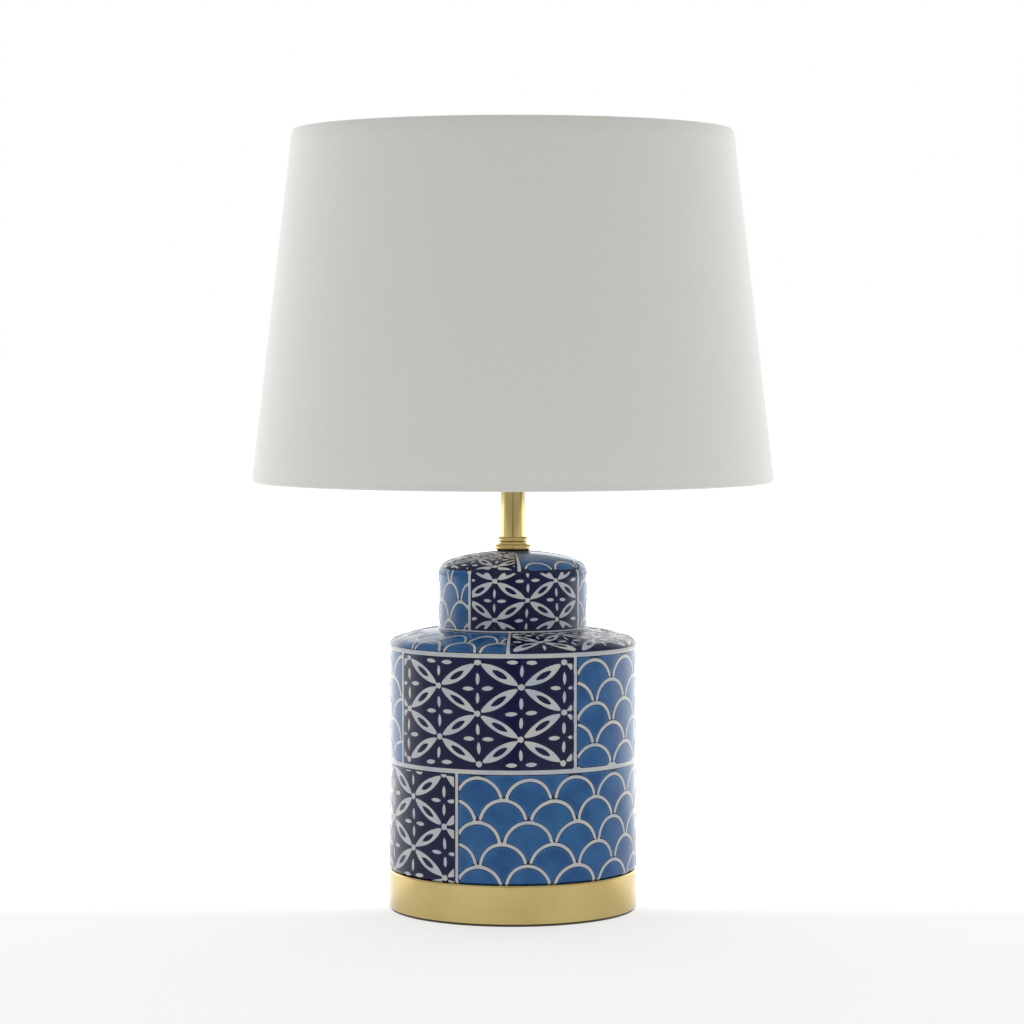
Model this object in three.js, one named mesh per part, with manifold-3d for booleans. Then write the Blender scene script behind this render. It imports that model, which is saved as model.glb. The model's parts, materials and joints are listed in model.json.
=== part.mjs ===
// A jar-shaped table lamp: a glazed ceramic jar on a brass base, a short brass stem, and a tapered
// fabric shade clamped to an E27 lampholder. Millimetres, +Z up, origin at the centre of the
// underside, front towards -Y, cable outlet towards +Y.
import * as THREE from 'three';
import { mergeVertices } from 'three/addons/utils/BufferGeometryUtils.js';
import Module from 'manifold-3d';

const wasm = await Module();
wasm.setup();

// Driving dimensions
const GAP = 0.3; // air left between pieces that touch on the real lamp
const LARGE = 48; // segments round the base, jar and shade
const MEDIUM = 24; // segments round the stem, lampholder and bulb
const SMALL = 16; // segments round screws and shafts

const PAD = { radius: 77.2, top: 1.2 };
const BASE = { radius: 78.9, wall: 1.4, bottom: 1.5, top: 25.6, deck: 23.4, recess: 75.1 };
const OUTLET = { height: 12, bore: 3.1, barrel: 4.4, flange: 6.8 };
const JAR = { foot: 25.7, radius: 78.5, wall: 5, shoulder: 178.4, neck: 47.3, crown: 226.9, hole: 7 };
const ROD = { radius: 4.9, bore: 3.6, bottom: 10, top: 299, clearance: 0.4 };
const COLLAR = { bottom: 228.4, top: 236.2, seat: 234.4 };
const STEM = { radius: 7.7, bore: 6.5, top: 284 };
const HOLDER = { boss: 290.9, cap: 317, capRadius: 20.3, rim: 351.8, thread: 19.9, shoulder: 320.3 };
const SWITCH = { height: 309, shaft: 1.7, knobRadius: 5.4, knobStart: 21.2, knobEnd: 31 };
const BULB = { tip: 331.1, centre: 405.6, radius: 30, neck: 12, glass: 0.9 };
const SHADE = { bottom: 271, top: 493, bottomRadius: 165, topRadius: 139.5, cloth: 0.7, liner: 0.5 };
const HOOP = { wire: 1.5 };
const ARM = { wire: 1.25, count: 3, first: 90 };

const hoopReach = HOOP.wire + GAP + SHADE.cloth; // from a hoop's centre to the outside of the cloth
const lowHoop = new THREE.Vector2(SHADE.bottomRadius - hoopReach, SHADE.bottom + hoopReach);
const highHoop = new THREE.Vector2(SHADE.topRadius - hoopReach, SHADE.top - hoopReach);
const taper = Math.atan2(lowHoop.x - highHoop.x, highHoop.y - lowHoop.y);
const rodHole = ROD.radius + ROD.clearance;

const finish = (color, roughness, metalness) =>
  new THREE.MeshStandardMaterial({ color, roughness, metalness });
const polishedBrass = finish(0xb5a26e, 0.25, 1);
const glaze = finish(0x2d527d, 0.15, 0);
const cloth = finish(0xd8d6cf, 0.9, 0);
const felt = finish(0x2a2320, 0.95, 0);
const board = finish(0x7a5f42, 0.85, 0);
const steel = finish(0xb4b6b8, 0.35, 1);
const blackRubber = finish(0x1b1b1c, 0.8, 0);
const blackResin = finish(0x18181a, 0.4, 0);
const porcelain = finish(0xeceae4, 0.3, 0);
const contactBrass = finish(0xc2a25a, 0.35, 1);
const whiteWire = finish(0xe6e4de, 0.45, 0.2);
const linerSheet = finish(0xf1f0ec, 0.55, 0);
const opalGlass = finish(0xf6f4ee, 0.2, 0);
const capMetal = finish(0xc9cacc, 0.3, 1);

// Solids: geometry in, one closed and outward-facing body out
function signedVolume(position, index) {
  let six = 0;
  const [a, b, c] = [new THREE.Vector3(), new THREE.Vector3(), new THREE.Vector3()];
  for (let i = 0; i < index.length; i += 3) {
    a.fromArray(position, 3 * index[i]);
    b.fromArray(position, 3 * index[i + 1]);
    c.fromArray(position, 3 * index[i + 2]);
    six += a.dot(b.cross(c));
  }
  return six / 6;
}

function toManifold(geometry) {
  geometry.deleteAttribute('normal');
  geometry.deleteAttribute('uv');
  const merged = mergeVertices(geometry, 1e-4);
  const index = merged.index.array;
  const kept = [];
  for (let i = 0; i < index.length; i += 3) {
    const [a, b, c] = index.slice(i, i + 3);
    if (a !== b && b !== c && c !== a) kept.push(a, b, c);
  }
  if (signedVolume(merged.attributes.position.array, kept) < 0) kept.reverse();
  const vertProperties = new Float32Array(merged.attributes.position.array);
  return new wasm.Manifold(new wasm.Mesh({ numProp: 3, vertProperties, triVerts: new Uint32Array(kept) }));
}

function toGeometry(manifold) {
  const mesh = manifold.getMesh();
  const geometry = new THREE.BufferGeometry();
  geometry.setAttribute('position', new THREE.BufferAttribute(new Float32Array(mesh.vertProperties), 3));
  geometry.setIndex(new THREE.BufferAttribute(new Uint32Array(mesh.triVerts), 1));
  geometry.computeVertexNormals();
  return geometry;
}

const solid = (geometry) => toGeometry(toManifold(geometry));
const cut = (geometry, ...tools) =>
  toGeometry(tools.reduce((rest, tool) => rest.subtract(toManifold(tool)), toManifold(geometry)));

// A turned solid about Z from [radius, height] points; a profile off the axis closes on itself
function turned(profile, segments) {
  const points = profile.map(([radius, height]) => new THREE.Vector2(radius, height));
  if (points[0].x > 0) points.push(points[0].clone());
  return new THREE.LatheGeometry(points, segments).rotateX(Math.PI / 2);
}

const disc = (radius, low, high, segments) =>
  turned([[0, low], [radius, low], [radius, high], [0, high]], segments);
const ring = (inner, outer, low, high, segments) =>
  turned([[inner, low], [outer, low], [outer, high], [inner, high]], segments);

// Points along a circular or elliptic arc in the profile plane, from and to in degrees
function arc([radius, height], [a, b], from, to, steps) {
  return Array.from({ length: steps + 1 }, (_, i) => {
    const angle = THREE.MathUtils.degToRad(from + ((to - from) * i) / steps);
    return [radius + a * Math.cos(angle), height + b * Math.sin(angle)];
  });
}

function hexNut(acrossFlats, hole, low, high) {
  const corner = acrossFlats / Math.sqrt(3);
  const corners = Array.from({ length: 6 }, (_, i) =>
    new THREE.Vector2(corner, 0).rotateAround(new THREE.Vector2(), (i * Math.PI) / 3));
  const outline = new THREE.Shape(corners);
  outline.holes.push(new THREE.Path().absarc(0, 0, hole, 0, 2 * Math.PI, true));
  const options = { depth: high - low, bevelEnabled: false, curveSegments: 10 };
  return new THREE.ExtrudeGeometry(outline, options).translate(0, 0, low);
}

// A bar of round section that follows a curve
function wire(curve, radius, sides, steps) {
  const section = new THREE.Shape(Array.from({ length: sides }, (_, i) =>
    new THREE.Vector2(radius, 0).rotateAround(new THREE.Vector2(), (2 * Math.PI * i) / sides)));
  return new THREE.ExtrudeGeometry(section, { steps, bevelEnabled: false, extrudePath: curve });
}

const alongX = (geometry, x, z) => geometry.rotateY(Math.PI / 2).translate(x, 0, z);
const alongY = (geometry, y, z) => geometry.rotateX(-Math.PI / 2).translate(0, y, z);

const lamp = new THREE.Group();
function add(name, material, geometry) {
  const mesh = new THREE.Mesh(geometry, material);
  mesh.name = name;
  lamp.add(mesh);
}

// Base: felt pad, board, spun brass pan with a recessed deck, and the cable outlet at the rear
function brassPan() {
  const { radius, wall, bottom, top, deck, recess } = BASE;
  const inner = radius - wall;
  const underDeck = deck - wall;
  const lip = 1.2;
  const profile = [
    [rodHole + GAP, underDeck], [inner, underDeck], [inner, bottom], [radius - 0.4, bottom],
    [radius, bottom + 0.5],
    ...arc([radius - lip, top - lip], [lip, lip], 0, 90, 2),
    ...arc([recess + lip, top - lip], [lip, lip], 90, 180, 2),
    [recess, deck], [rodHole + GAP, deck],
  ];
  const outletHole = alongY(disc(OUTLET.barrel + GAP, 0, 2 * wall + 8, SMALL), inner - 5, OUTLET.height);
  return cut(turned(profile, LARGE), outletHole);
}

function addBase() {
  const inside = BASE.radius - BASE.wall;
  const flangeStart = BASE.radius + GAP + 0.2;
  const barrelStart = inside - 3.9;
  const nutEnd = inside - GAP - 0.4;
  const { bore, barrel, flange, height } = OUTLET;
  add('felt_pad', felt, solid(disc(PAD.radius, 0, PAD.top, LARGE)));
  add('bottom_board', board, solid(disc(inside - 0.5, BASE.bottom, BASE.bottom + 3, LARGE)));
  add('brass_base', polishedBrass, brassPan());
  const bush = [
    [bore, 0], [barrel, 0], [barrel, flangeStart - barrelStart], [flange, flangeStart - barrelStart],
    [flange, flangeStart - barrelStart + 1.3], [flange - 0.8, flangeStart - barrelStart + 2.1],
    [bore + 0.7, flangeStart - barrelStart + 2.1], [bore, flangeStart - barrelStart + 1.4],
  ];
  add('cable_bush', blackResin, solid(alongY(turned(bush, SMALL), barrelStart, height)));
  add('bush_nut', blackResin, solid(alongY(hexNut(11.4, barrel + GAP, 0, 3), nutEnd - 3, height)));
  add('seat_ring', blackRubber, solid(ring(60, 70, BASE.deck + GAP, JAR.foot - GAP, LARGE)));
}

// The clamping stack on the hollow threaded rod that runs from the base to the lampholder
function addRod() {
  const underDeck = BASE.deck - BASE.wall - GAP;
  add('threaded_rod', steel, solid(ring(ROD.bore, ROD.radius, ROD.bottom, ROD.top, SMALL)));
  add('plate_washer', steel, solid(ring(rodHole, 16, underDeck - 1.8, underDeck, MEDIUM)));
  add('lock_washer', steel, solid(ring(rodHole, 8.5, underDeck - 3.1, underDeck - 2.1, SMALL)));
  add('bottom_nut', steel, solid(hexNut(14, rodHole, underDeck - 8.4, underDeck - 3.4)));
}

// The jar is one casting: foot, straight body, sloped shoulder, neck and crowned top
function jarProfile() {
  const { foot, radius, wall, shoulder, neck, crown, hole } = JAR;
  const heel = 2.5;
  const edge = 6.5;
  const slope = 173; // height of the shoulder's outer end, before its rounded edge
  const outside = [
    [hole, foot + 2.5], [56, foot + 2.5], [57.5, foot],
    ...arc([radius - heel, foot + heel], [heel, heel], -90, 0, 2),
    ...arc([radius - edge, slope - edge], [edge, edge], 0, 75, 3),
    [60, 176.7], [neck + 1.2, shoulder], [neck, shoulder + 1.2],
    ...arc([neck - 13, crown - 13.9], [13, 9.6], 0, 60, 3),
    [34, crown - 3.5], [25, crown - 1.5], [12, crown], [hole, crown],
  ];
  const inside = [
    [hole, crown - wall], [neck - 13, crown - wall - 4], [neck - wall, crown - 16],
    [neck - wall, shoulder - wall + 1], [radius - 9, slope - 5.6], [radius - wall, slope - 11],
    [radius - wall, foot + 12], [radius - 11, foot + 7.5], [hole, foot + 7.5],
  ];
  return [...outside, ...inside];
}

// Stem: black washer, stepped collar, tube, cup and nut
function addStem() {
  const { bottom, top, seat } = COLLAR;
  add('dome_washer', blackRubber, solid(ring(rodHole, 10.2, JAR.crown + GAP, bottom - GAP, MEDIUM)));
  const collar = [
    [rodHole, bottom], [11.1, bottom], [11.6, bottom + 0.5], [11.6, bottom + 2.1],
    [11, bottom + 2.9], [9.3, bottom + 3.2], [8.8, bottom + 4.2], [8.9, bottom + 5.1],
    [9.4, bottom + 5.7], [9.4, bottom + 7.1], [8.8, top], [STEM.radius + GAP, top],
    [STEM.radius + GAP, seat], [rodHole, seat],
  ];
  add('collar', polishedBrass, solid(turned(collar, MEDIUM)));
  const tube = ring(STEM.bore, STEM.radius, seat + GAP, STEM.top, MEDIUM);
  add('stem_tube', polishedBrass, solid(tube));
  const plug = STEM.bore - GAP;
  const cupBottom = STEM.top + GAP;
  const cup = [
    [rodHole, cupBottom - 2.8], [plug, cupBottom - 2.8], [plug, cupBottom], [10.8, cupBottom],
    [11.5, cupBottom + 0.7], [11.5, cupBottom + 1.5], [10.8, cupBottom + 2], [rodHole, cupBottom + 2],
  ];
  add('stem_cup', polishedBrass, solid(turned(cup, MEDIUM)));
  add('top_nut', steel, solid(hexNut(15, rodHole, cupBottom + 2 + GAP, HOLDER.boss - GAP)));
}

// Lampholder: cap with a rotary switch, porcelain core with its contacts, threaded sleeve
function holderCap() {
  const { boss, cap, capRadius } = HOLDER;
  const bossRadius = 8.4;
  const wall = 1.4;
  const profile = [
    [rodHole, boss], [bossRadius, boss], [bossRadius, boss + 6.1], [17.5, boss + 9.6],
    [capRadius, boss + 13.1], [capRadius, cap], [capRadius - wall, cap],
    [capRadius - wall, boss + 13.9], [16.9, boss + 11.3], [7.6, ROD.top + 0.2], [rodHole, ROD.top + 0.2],
  ];
  const shaftHole = alongX(disc(SWITCH.shaft + GAP, 0, 12, SMALL), 14, SWITCH.height);
  const screwHole = alongX(disc(1.9, 0, 8, SMALL), -11, boss + 3.1);
  return cut(turned(profile, MEDIUM), shaftHole, screwHole);
}

function switchBlock() {
  const [length, width, height] = [14.5, 15, 10];
  const block = new THREE.BoxGeometry(length, width, height).translate(8.25, 0, SWITCH.height + 0.5);
  return cut(block, alongX(disc(SWITCH.shaft + GAP, 0, 12, SMALL), 6, SWITCH.height));
}

function switchKnob() {
  const flutes = 12;
  const outline = Array.from({ length: 4 * flutes }, (_, i) => {
    const depth = i % 4 === 0 ? 0.6 : 0;
    return new THREE.Vector2(SWITCH.knobRadius - depth, 0)
      .rotateAround(new THREE.Vector2(), (2 * Math.PI * i) / (4 * flutes));
  });
  const depth = SWITCH.knobEnd - SWITCH.knobStart;
  const body = new THREE.ExtrudeGeometry(new THREE.Shape(outline), { depth, bevelEnabled: false });
  const bore = disc(SWITCH.shaft + GAP, -1, 4.3, SMALL);
  return cut(alongX(body, SWITCH.knobStart, SWITCH.height), alongX(bore, SWITCH.knobStart, SWITCH.height));
}

function centreContact() {
  const low = 326.3;
  const thick = 0.6;
  const upper = [[-9, low + thick], [-3.4, low + thick], [-0.6, BULB.tip - GAP], [3.6, BULB.tip - GAP - 0.5]];
  const lower = upper.map(([x, z]) => [x + 0.1, z - thick]).reverse();
  const strip = new THREE.Shape([...upper, ...lower].map(([x, z]) => new THREE.Vector2(x, z)));
  const width = 4;
  const options = { depth: width, bevelEnabled: false };
  return new THREE.ExtrudeGeometry(strip, options).rotateX(Math.PI / 2).translate(0, width / 2, 0);
}

function addHolder() {
  const { cap, rim, thread, shoulder } = HOLDER;
  const floor = 326;
  add('holder_cap', blackResin, holderCap());
  const screw = alongX(disc(1.6, 0, 4.4, SMALL), -9.6, HOLDER.boss + 3.1);
  add('set_screw', steel, solid(screw));
  add('switch_block', blackResin, switchBlock());
  const core = [[2, 318.5], [17.6, 318.5], [17.6, 347], [14.9, 347], [14.9, floor], [2, floor]];
  add('holder_core', porcelain, solid(turned(core, MEDIUM)));
  add('screw_shell', contactBrass, solid(ring(13.6, 14.5, floor + 1.5, 346, MEDIUM)));
  add('centre_contact', contactBrass, solid(centreContact()));
  const sleeve = [
    [18, cap + GAP], [21.9, cap + GAP], [22.3, cap + 0.7], [22.3, shoulder], [thread, shoulder],
    [thread, rim - 0.8], [thread - 0.6, rim], [18.4, rim], [18, rim - 0.4],
  ];
  add('holder_sleeve', blackResin, solid(turned(sleeve, MEDIUM)));
}

function addSwitchKnob() {
  const shaftLength = SWITCH.knobStart + 4.3 - GAP - 6.5;
  const shaft = alongX(disc(SWITCH.shaft, 0, shaftLength, SMALL), 6.5, SWITCH.height);
  add('switch_shaft', contactBrass, solid(shaft));
  add('switch_knob', blackResin, switchKnob());
}

// Bulb: tip contact, insulator, screw cap and opal envelope, open at the neck
function bulbGlass() {
  const { centre, radius, neck, glass } = BULB;
  const envelope = (wall) => [
    [neck - wall, 346], [neck - wall, 357.2], [neck + 1.6 - wall, 361], [19.4 - wall, 371.5],
    ...arc([0, centre], [radius - wall, radius - wall], -34, 90, 6),
  ];
  return turned([...envelope(glass).reverse(), ...envelope(0)].map(([r, z]) => [Math.max(r, 0), z]), MEDIUM);
}

function addBulb() {
  const { tip, neck } = BULB;
  const contact = [[0, tip], [3.2, tip + 0.2], [4.5, tip + 1.1], [4.5, tip + 1.9], [0, tip + 1.9]];
  add('bulb_contact', capMetal, solid(turned(contact, SMALL)));
  const insulator = [[0, tip + 2.2], [5.2, tip + 2.2], [11.6, tip + 5.9], [11.6, tip + 6.9], [0, tip + 6.9]];
  add('bulb_insulator', blackResin, solid(turned(insulator, MEDIUM)));
  const cap = [
    [neck + 0.4, tip + 7.2], [neck + 1, tip + 8], [neck + 1, tip + 24.4], [neck + 1.4, tip + 25.4],
    [neck + 0.4, tip + 25.4],
  ];
  add('bulb_cap', capMetal, solid(turned(cap, MEDIUM)));
  add('bulb_glass', opalGlass, solid(bulbGlass()));
}

// Shade: clamp ring, three-armed fitter, two wire hoops, liner, and cloth rolled over both hoops
function shadeCloth() {
  const tilt = THREE.MathUtils.radToDeg(taper);
  const rolled = (reach) => [
    ...arc([lowHoop.x, lowHoop.y], [reach, reach], 155, 360 + tilt, 4),
    ...arc([highHoop.x, highHoop.y], [reach, reach], tilt, 200, 4),
  ];
  return turned([...rolled(hoopReach), ...rolled(hoopReach - SHADE.cloth).reverse()], LARGE);
}

function shadeLiner() {
  const direction = new THREE.Vector2(-Math.sin(taper), Math.cos(taper));
  const outward = new THREE.Vector2(Math.cos(taper), Math.sin(taper));
  const length = highHoop.distanceTo(lowHoop);
  const at = (along, out) => lowHoop.clone().addScaledVector(direction, along).addScaledVector(outward, out);
  const inset = HOOP.wire + 0.8;
  const profile = [
    at(inset, HOOP.wire), at(length - inset, HOOP.wire),
    at(length - inset, HOOP.wire - SHADE.liner), at(inset, HOOP.wire - SHADE.liner),
  ];
  return turned(profile.map((point) => [point.x, point.y]), LARGE);
}

function fitterArm(degrees) {
  const level = HOLDER.shoulder + GAP + 0.9;
  const landing = lowHoop.y + HOOP.wire + ARM.wire + GAP + 0.1;
  const points = [
    [25, level], [34, level], [42, level - 1.5], [96, (level + landing) / 2 + 1],
    [146, landing + 2.4], [154, landing + 0.4], [161, landing],
  ];
  const curve = new THREE.CatmullRomCurve3(points.map(([x, z]) => new THREE.Vector3(x, 0, z)));
  return wire(curve, ARM.wire, 8, 12).rotateZ(THREE.MathUtils.degToRad(degrees));
}

function addShade() {
  const seat = HOLDER.shoulder + GAP;
  const inner = HOLDER.thread + GAP;
  add('shade_ring', blackResin, solid(ring(inner, 24, seat + 2.1, seat + 8.1, MEDIUM)));
  add('fitter_ring', whiteWire, solid(ring(inner + 0.2, 24.5, seat, seat + 1.8, MEDIUM)));
  for (let i = 0; i < ARM.count; i += 1) {
    add(`fitter_arm_${i + 1}`, whiteWire, solid(fitterArm(ARM.first + (360 / ARM.count) * i)));
  }
  const hoop = ({ x, y }) => new THREE.TorusGeometry(x, HOOP.wire, 5, LARGE).translate(0, 0, y);
  add('bottom_hoop', whiteWire, solid(hoop(lowHoop)));
  add('top_hoop', whiteWire, solid(hoop(highHoop)));
  add('shade_liner', linerSheet, solid(shadeLiner()));
  add('shade_fabric', cloth, solid(shadeCloth()));
}

addBase();
addRod();
add('ceramic_jar', glaze, solid(turned(jarProfile(), LARGE)));
addStem();
addHolder();
addSwitchKnob();
addBulb();
addShade();

export default lamp;
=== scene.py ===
"""Looks of a jar-shaped ceramic table lamp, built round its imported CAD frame.

Blender works in metres. Outlines are in millimetres, as (radius, height) points about the lamp's axis,
and become metres where a mesh is made. Angles round the lamp run from the front (-Y) towards +X.
"""
import json
from math import atan2, cos, hypot, pi, radians, sin, tau
from typing import NamedTuple

import bmesh
import bpy
import numpy as np
from mathutils import Matrix, Vector


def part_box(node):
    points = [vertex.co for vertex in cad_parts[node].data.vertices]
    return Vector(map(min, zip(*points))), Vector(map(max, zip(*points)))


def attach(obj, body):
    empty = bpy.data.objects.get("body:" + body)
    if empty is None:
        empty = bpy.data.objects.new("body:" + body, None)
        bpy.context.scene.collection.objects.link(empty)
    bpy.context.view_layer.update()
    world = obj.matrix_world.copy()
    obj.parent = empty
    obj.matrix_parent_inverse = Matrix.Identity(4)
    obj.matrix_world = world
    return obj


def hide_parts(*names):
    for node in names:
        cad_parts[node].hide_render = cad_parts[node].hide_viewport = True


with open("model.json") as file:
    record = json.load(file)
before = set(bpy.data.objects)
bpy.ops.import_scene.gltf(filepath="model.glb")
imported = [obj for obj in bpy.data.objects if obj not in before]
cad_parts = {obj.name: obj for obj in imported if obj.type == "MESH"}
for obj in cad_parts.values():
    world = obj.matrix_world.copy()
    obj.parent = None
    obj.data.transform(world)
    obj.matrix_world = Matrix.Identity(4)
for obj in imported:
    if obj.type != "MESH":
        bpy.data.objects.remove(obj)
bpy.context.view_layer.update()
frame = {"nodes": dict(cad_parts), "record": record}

MM = 0.001
FINE = 192  # segments round the jar, base and shade
MEDIUM = 96  # segments round the stem, lampholder, bulb and nuts


# Camera, floor and light

def make_camera():
    data = bpy.data.cameras.new("camera")
    data.lens = 117.2
    looking_down = 2.65
    data.clip_end = 600
    camera = bpy.data.objects.new("camera", data)
    camera.location = (-0.0006, -2.113, 0.3496)
    camera.rotation_euler = (radians(90 - looking_down), 0, 0)
    bpy.context.scene.collection.objects.link(camera)
    bpy.context.scene.camera = camera


def add_staging(name, corners, grey):
    """A dull four-cornered panel that isn't part of the lamp."""
    mesh = bpy.data.meshes.new(name)
    mesh.from_pydata(corners, [], [(0, 1, 2, 3)])
    panel = bpy.data.objects.new(name, mesh)
    bpy.context.scene.collection.objects.link(panel)
    material, shader = new_material(name, roughness=0.9)
    shader.inputs["Base Color"].default_value = (grey, grey, grey, 1)
    shader.inputs["Specular IOR Level"].default_value = 0
    mesh.materials.append(material)
    return material


def make_floor():
    """A pale table, lit from below like a light table: dim far in front, brighter behind the lamp."""
    size, grey = 250, 0.42
    corners = [(-size, -size, 0), (size, -size, 0), (size, size, 0), (-size, size, 0)]
    nodes = Nodes(add_staging("floor", corners, grey))
    place = nodes.add("ShaderNodeSeparateXYZ")
    nodes.link(nodes.place, place.inputs[0])
    away = place.outputs["Y"]
    dim = nodes.range(away, -1.6, -0.45, 0.22, 0.60)
    bright = nodes.range(away, -0.04, 0.07, 0.0, 0.5)
    glare = nodes.range(away, 0.15, 0.5, 0.0, 1.0)
    distance = nodes.add("ShaderNodeVectorMath", operation="LENGTH")
    nodes.link(nodes.place, distance.inputs[0])
    near = nodes.range(distance.outputs["Value"], 4.2, 5.8, 1.0, 0.1)
    nodes.shader.inputs["Emission Color"].default_value = (1, 1, 1, 1)
    behind = nodes.math("MULTIPLY", nodes.math("ADD", bright, glare), near)
    total = nodes.math("ADD", dim, behind)
    nodes.link(total, nodes.shader.inputs["Emission Strength"])


def make_dark_cards():
    """Dull cards, hidden from the camera, which give the polished brass stem its dark stripes."""
    grey = 0.42
    width, away, height = 0.42, 3.2, 2.2
    near_width, near, lift = 0.1, 0.8, 0.003
    side, side_front, side_back, side_height = 4.5, -1.3, 1.0, 0.6
    cards = {
        "card_in_front": [
            (-width, -away, 0), (width, -away, 0), (width, -away, height), (-width, -away, height)],
        "card_on_the_table": [
            (-near_width, -near, lift), (near_width, -near, lift),
            (width, -away, lift), (-width, -away, lift)],
        "card_at_the_side": [
            (side, side_front, 0), (side, side_back, 0),
            (side, side_back, side_height), (side, side_front, side_height)],
    }
    for name, corners in cards.items():
        add_staging(name, corners, grey)
        bpy.data.objects[name].visible_camera = False


def make_world():
    """A soft room: pale grey in front of the lamp, bright at the back on both sides, white to the camera."""
    front, back_middle, back_sides = 0.64, 1.6, 2.0
    world = bpy.data.worlds.new("studio")
    bpy.context.scene.world = world
    world.use_nodes = True
    nodes = Nodes(world)
    direction = nodes.add("ShaderNodeSeparateXYZ")
    nodes.link(nodes.add("ShaderNodeTexCoord").outputs["Generated"], direction.inputs[0])
    sideways = nodes.math("ABSOLUTE", direction.outputs["X"])
    backdrop = nodes.range(sideways, 0.15, 0.45, back_middle, back_sides)
    room = nodes.range(direction.outputs["Y"], 0.28, 0.82, front, backdrop)
    seen = nodes.add("ShaderNodeMix")
    nodes.link(nodes.add("ShaderNodeLightPath").outputs["Is Camera Ray"], seen.inputs[0])
    nodes.link(room, seen.inputs[2])
    nodes.link(1.0, seen.inputs[3])
    background = nodes.tree.nodes["Background"]
    background.inputs["Color"].default_value = (1, 1, 1, 1)
    nodes.link(seen.outputs[0], background.inputs["Strength"])


# Materials: each reads object coordinates or a UV map, so that it moves with its piece

def linear(colour):
    """The linear value of a colour given as red, green and blue from 0 to 255."""
    values = [c / 255 for c in colour]
    return (*[c / 12.92 if c <= 0.04045 else ((c + 0.055) / 1.055) ** 2.4 for c in values], 1)


def new_material(name, roughness, metallic=0.0, **sockets):
    material = bpy.data.materials.new(name)
    material.use_nodes = True
    shader = material.node_tree.nodes["Principled BSDF"]
    shader.inputs["Roughness"].default_value = roughness
    shader.inputs["Metallic"].default_value = metallic
    for socket, value in sockets.items():
        shader.inputs[socket.replace("_", " ")].default_value = value
    return material, shader


class Nodes:
    """Short ways to add nodes to a material or to the world."""

    def __init__(self, owner):
        self.tree = owner.node_tree
        self.shader = self.tree.nodes.get("Principled BSDF")
        self.place = self.add("ShaderNodeTexCoord").outputs["Object"]

    def add(self, kind, **settings):
        node = self.tree.nodes.new(kind)
        for name, value in settings.items():
            setattr(node, name, value)
        return node

    def link(self, source, target):
        if isinstance(source, (int, float)):
            target.default_value = source
        else:
            self.tree.links.new(source, target)

    def noise(self, scale, detail=2.0, stretch=(1, 1, 1), distortion=0.0):
        """Noise from 0 to 1, scale in lumps per metre, drawn out where stretch is under 1."""
        mapping = self.add("ShaderNodeMapping")
        mapping.inputs["Scale"].default_value = stretch
        self.link(self.place, mapping.inputs["Vector"])
        node = self.add("ShaderNodeTexNoise")
        self.link(mapping.outputs[0], node.inputs["Vector"])
        node.inputs["Scale"].default_value = scale
        node.inputs["Detail"].default_value = detail
        node.inputs["Distortion"].default_value = distortion
        return node.outputs["Fac"]

    def math(self, operation, a, b=0.0):
        node = self.add("ShaderNodeMath", operation=operation)
        self.link(a, node.inputs[0])
        self.link(b, node.inputs[1])
        return node.outputs[0]

    def range(self, value, low, high, to_low=0.0, to_high=1.0):
        """Maps low to high onto to_low to to_high, with a smooth start and end."""
        node = self.add("ShaderNodeMapRange", interpolation_type="SMOOTHSTEP")
        self.link(value, node.inputs["Value"])
        for name, limit in (("From Min", low), ("From Max", high), ("To Min", to_low), ("To Max", to_high)):
            self.link(limit, node.inputs[name])
        return node.outputs[0]

    def mix(self, factor, first, second):
        """A blend of two tones: each is a colour from 0 to 255 or the output of a node."""
        node = self.add("ShaderNodeMix", data_type="RGBA")
        self.link(factor, node.inputs[0])
        for socket, value in ((node.inputs[6], first), (node.inputs[7], second)):
            if isinstance(value, tuple):
                socket.default_value = linear(value)
            else:
                self.link(value, socket)
        return node.outputs[2]

    def attribute(self, name):
        return self.add("ShaderNodeAttribute", attribute_name=name).outputs["Fac"]

    def wave(self, scale, source, direction):
        node = self.add("ShaderNodeTexWave", bands_direction=direction)
        self.link(source, node.inputs["Vector"])
        node.inputs["Scale"].default_value = scale
        return node.outputs["Fac"]

    def color(self, source):
        self.link(source, self.shader.inputs["Base Color"])

    def roughness(self, source):
        self.link(source, self.shader.inputs["Roughness"])

    def bump(self, height, distance):
        node = self.add("ShaderNodeBump")
        node.inputs["Distance"].default_value = distance
        self.link(height, node.inputs["Height"])
        self.link(node.outputs[0], self.shader.inputs["Normal"])


def two_tone(name, first, second, roughness, scale, metallic, grain):
    """A material whose colour and roughness drift; scale and grain are in lumps per metre."""
    material, _ = new_material(name, roughness, metallic)
    nodes = Nodes(material)
    drift = nodes.noise(scale, 3)
    nodes.color(nodes.mix(nodes.range(drift, 0.3, 0.7), first, second))
    wear = nodes.noise(scale * 2.3, 3)
    nodes.roughness(nodes.range(wear, 0.25, 0.75, roughness * 0.85, roughness * 1.15))
    if grain:
        nodes.bump(nodes.noise(grain, 2), 0.00012)
    return material


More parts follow.
